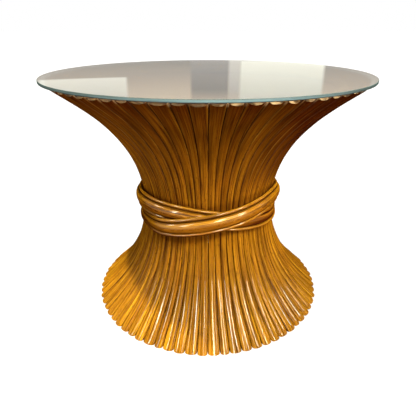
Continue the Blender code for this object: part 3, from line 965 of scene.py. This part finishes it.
class SHEAF_OT_add_glass(bpy.types.Operator):
    """Add the loose glass top"""
    bl_idname = "sheaf.add_glass"
    bl_label = "Add glass"

    def execute(self, context):
        settings = context.scene.sheaf_glass
        shape = bmesh.new()
        middle = (GLASS_LOW + GLASS_HIGH) / 2
        bmesh.ops.create_cone(shape, cap_ends=True, segments=GLASS_SIDES, radius1=GLASS_RADIUS,
                              radius2=GLASS_RADIUS, depth=GLASS_THICKNESS, matrix=Matrix.Translation(middle))
        rims = [edge for edge in shape.edges if edge.verts[0].co.z == edge.verts[1].co.z]
        bmesh.ops.bevel(shape, geom=rims, offset=settings.arris, offset_type="OFFSET", affect="EDGES", segments=2,
                        profile=0.5, material=-1)
        for face in shape.faces:
            face.material_index = GLASS_FACE if len(face.verts) > 4 else GLASS_EDGE
        finish_piece("glass_sheet", shape, (clear_sheet(settings), polished_edge(settings)), "glass",
                     ["glass_top"], GLASS_CREASE)
        return {"FINISHED"}


CAMERA_PLACE = (0.0, -0.968, 0.687)
CAMERA_PITCH = math.radians(90 - 25.3)
CAMERA_LENS = 33.12
CAMERA_SHIFT = 0.0005
STAGE_SIZE = 60.0

# Upright strips: name, bearing, share of the power, width, and heights of the lower and upper ends
STRIP_DISTANCE = 2.3
STRIPS = (
    ("strip", 6, 1.0, 0.20, 0.75, 3.4),
    ("right_strip", 46, 0.95, 0.16, 0.75, 3.4),
    ("far_right_strip", 88, 0.60, 0.14, 0.75, 3.4),
    ("left_strip", -48, 0.60, 0.14, 0.75, 3.4),
)

# Wall and dome by how steeply one looks up, and panels on the wall behind the table: bearings of their sides in
# radians, rises of their lower and upper edges, and colour
SKY_WALL = (
    (0.0, (1.0, 1.0, 1.0)), (0.058, (1.0, 1.0, 1.0)), (0.070, (0.48, 0.46, 0.42)), (0.12, (0.88, 0.77, 0.65)),
    (0.17, (1.40, 1.20, 0.95)), (0.32, (0.40, 0.38, 0.36)), (1.0, (0.26, 0.26, 0.27)),
)
SKY_PANELS = (
    (-0.40, -0.20, 0.110, 0.22, (1.40, 1.35, 1.18)),
    (-0.042, 0.052, 0.070, 0.16, (0.60, 0.57, 0.53)),
    (0.052, 0.08, 0.070, 0.16, (1.02, 0.97, 0.87)),
    (0.08, 0.28, 0.074, 0.22, (1.38, 1.36, 1.18)),
)
PANEL_SIDE_BLUR, PANEL_FOOT_BLUR, PANEL_TOP_BLUR = 0.004, 0.0015, 0.02

# Share of the sky's light that comes from the front, and of the low front sky that shows in the glass
FRONT_LIGHT = 0.15
FRONT_MIRRORED = 0.7

# Shares of the soft light's and the strips' power, and colours of the light
BOUNCE_SHARE = 0.036
SPOT_SHARE = 0.2
CEILING_COLOUR = (1.0, 0.98, 0.84)
SOFT_COLOUR = (1.0, 0.97, 0.93)
BOUNCE_COLOUR = (1.0, 0.95, 0.86)
SPOT_COLOUR = (1.0, 0.97, 0.9)
STRIP_COLOUR = (1.0, 0.96, 0.84)


def floor_paint(settings):
    """Pale floor lit from below, with a barely visible cloudiness."""
    material, tree, shader = new_finish("pale_floor")
    clouds = stretched_noise(tree, object_place(tree), (1.5, 1.5, 1.5), 3, 0.5)
    colour = mixed(tree, span(tree, clouds, 0.35, 0.65), settings.floor, tinted(settings.floor, 0.97))
    set_inputs(tree, shader, Base_Color=colour, Roughness=0.8, Specular_IOR_Level=0.1,
               Emission_Color=(1.0, 1.0, 0.99, 1.0), Emission_Strength=settings.floor_glow)
    return material


def from_bearing(bearing, elevation, distance):
    """Point at a bearing from the front, positive to the right, and at an elevation, both in degrees."""
    turn, rise = math.radians(bearing), math.radians(elevation)
    return Vector((math.sin(turn) * math.cos(rise), -math.cos(turn) * math.cos(rise), math.sin(rise))) * distance


def add_lamp(light, place, aim, lights=True, mirrored=True):
    """Lamp that faces a point and lights the table, shows in its gloss or does both."""
    lamp = bpy.data.objects.new(light.name, light)
    lamp.visible_camera = False
    lamp.visible_diffuse = lights
    lamp.visible_glossy = mirrored
    lamp.location = place
    lamp.rotation_euler = (Vector(aim) - place).to_track_quat("-Z", "Y").to_euler()
    bpy.context.scene.collection.objects.link(lamp)


def add_panel(name, place, aim, size, power, colour, lights=True, mirrored=True):
    """Soft rectangular light that faces a point."""
    light = bpy.data.lights.new(name, "AREA")
    light.shape = "RECTANGLE"
    light.size, light.size_y = size
    light.energy = power
    light.color = colour
    add_lamp(light, place, aim, lights, mirrored)


def add_lights(settings):
    """High light at the left, soft light at the front right, low bounce, spot at the left and upright strips."""
    ceiling = bpy.data.lights.new("ceiling", "SUN")
    ceiling.energy = settings.ceiling
    ceiling.angle = math.radians(3)
    ceiling.color = CEILING_COLOUR
    add_lamp(ceiling, from_bearing(-72, 74, 3.0), (0, 0, 0))
    add_panel("soft", from_bearing(33, 41, 2.6), (0, 0, 0.15), (1.1, 1.1), settings.window, SOFT_COLOUR,
              mirrored=False)
    add_panel("bounce", from_bearing(-42, 0, 0.85) + Vector((0, 0, 0.01)), (-0.25, -0.25, 1.2), (0.7, 0.7),
              settings.window * BOUNCE_SHARE, BOUNCE_COLOUR, mirrored=False)
    add_panel("spot", from_bearing(-90, 42, 2.6), (0, 0, 0.28), (0.35, 0.25), settings.strip * SPOT_SHARE,
              SPOT_COLOUR)
    for name, bearing, share, width, bottom, top in STRIPS:
        middle = Vector((0, 0, (bottom + top) / 2))
        add_panel(name, from_bearing(bearing, 0, STRIP_DISTANCE) + middle, middle, (width, top - bottom),
                  settings.strip * share, STRIP_COLOUR, lights=False)


def studio_sky():
    """Wall with panels that the glass mirrors, under a dim dome, dimmed at the front, and white where it is seen."""
    world = bpy.data.worlds.new("studio")
    world.use_nodes = True
    tree = world.node_tree
    parts = split_axes(tree, tree.nodes.new("ShaderNodeTexCoord").outputs["Generated"])
    rise = parts["Z"]
    bearing = maths(tree, "ARCTAN2", parts["X"], parts["Y"])
    colour = ramp(tree, rise, SKY_WALL)
    for left, right, bottom, top, paint in SKY_PANELS:
        inside = 1.0
        for axis, place, blur, ends in ((bearing, left, PANEL_SIDE_BLUR, (0.0, 1.0)),
                                        (bearing, right, PANEL_SIDE_BLUR, (1.0, 0.0)),
                                        (rise, bottom, PANEL_FOOT_BLUR, (0.0, 1.0)),
                                        (rise, top, PANEL_TOP_BLUR, (1.0, 0.0))):
            inside = times(tree, inside, span(tree, axis, place - blur, place + blur, *ends))
        colour = mixed(tree, inside, colour, paint)
    rays = tree.nodes.new("ShaderNodeLightPath").outputs
    mirrored = times(tree, rays["Is Glossy Ray"], span(tree, rise, 0.25, 0.40, FRONT_MIRRORED, 0.0))
    dim = maths(tree, "MAXIMUM", span(tree, parts["Y"], 0.0, 0.5, FRONT_LIGHT, 1.0), mirrored)
    colour = shaded(tree, colour, dim)
    colour = mixed(tree, rays["Is Camera Ray"], colour, (1.0, 1.0, 1.0))
    set_inputs(tree, tree.nodes["Background"], Color=colour)
    bpy.context.scene.world = world


class SHEAF_OT_add_stage(bpy.types.Operator):
    """Add the floor, the light and the camera"""
    bl_idname = "sheaf.add_stage"
    bl_label = "Add stage"

    def execute(self, context):
        settings = context.scene.sheaf_stage
        scene = context.scene
        shape = bmesh.new()
        bmesh.ops.create_grid(shape, x_segments=2, y_segments=2, size=STAGE_SIZE)
        mesh = bpy.data.meshes.new("floor")
        shape.to_mesh(mesh)
        shape.free()
        mesh.materials.append(floor_paint(settings))
        floor = bpy.data.objects.new("floor", mesh)
        scene.collection.objects.link(floor)
        add_lights(settings)
        studio_sky()
        camera = bpy.data.cameras.new("camera")
        camera.sensor_width = 36.0
        camera.lens = CAMERA_LENS
        camera.shift_x = CAMERA_SHIFT
        view = bpy.data.objects.new("camera", camera)
        view.location = CAMERA_PLACE
        view.rotation_euler = (CAMERA_PITCH, 0, 0)
        scene.collection.objects.link(view)
        scene.camera = view
        scene.view_settings.view_transform = "Standard"
        return {"FINISHED"}


class SHEAF_PT_panel(bpy.types.Panel):
    """Buttons that build the table and the values behind them"""
    bl_idname = "SHEAF_PT_panel"
    bl_label = "Sheaf table"
    bl_space_type = "VIEW_3D"
    bl_region_type = "UI"
    bl_category = "Sheaf table"

    def draw(self, context):
        for operator, group in BUILD_ORDER:
            box = self.layout.box()
            box.operator(operator.bl_idname)
            settings = getattr(context.scene, group)
            for name in settings.__annotations__:
                box.prop(settings, name)


BUILD_ORDER = (
    (SHEAF_OT_add_staves, "sheaf_staves"),
    (SHEAF_OT_add_hoops, "sheaf_hoops"),
    (SHEAF_OT_add_tie, "sheaf_tie"),
    (SHEAF_OT_add_bumpers, "sheaf_glass"),
    (SHEAF_OT_add_glass, "sheaf_glass"),
    (SHEAF_OT_add_stage, "sheaf_stage"),
)
SETTINGS = (
    ("sheaf_staves", StaveSettings),
    ("sheaf_hoops", HoopSettings),
    ("sheaf_tie", TieSettings),
    ("sheaf_glass", GlassSettings),
    ("sheaf_stage", StageSettings),
)


def register():
    for name, group in SETTINGS:
        bpy.utils.register_class(group)
        setattr(bpy.types.Scene, name, PointerProperty(type=group))
    for operator, _ in BUILD_ORDER:
        bpy.utils.register_class(operator)
    bpy.utils.register_class(SHEAF_PT_panel)


def unregister():
    bpy.utils.unregister_class(SHEAF_PT_panel)
    for operator, _ in reversed(BUILD_ORDER):
        bpy.utils.unregister_class(operator)
    for name, group in reversed(SETTINGS):
        delattr(bpy.types.Scene, name)
        bpy.utils.unregister_class(group)


def main():
    register()
    bpy.ops.sheaf.add_staves()
    bpy.ops.sheaf.add_hoops()
    bpy.ops.sheaf.add_tie()
    bpy.ops.sheaf.add_bumpers()
    bpy.ops.sheaf.add_glass()
    bpy.ops.sheaf.add_stage()


if __name__ == "__main__":
    main()
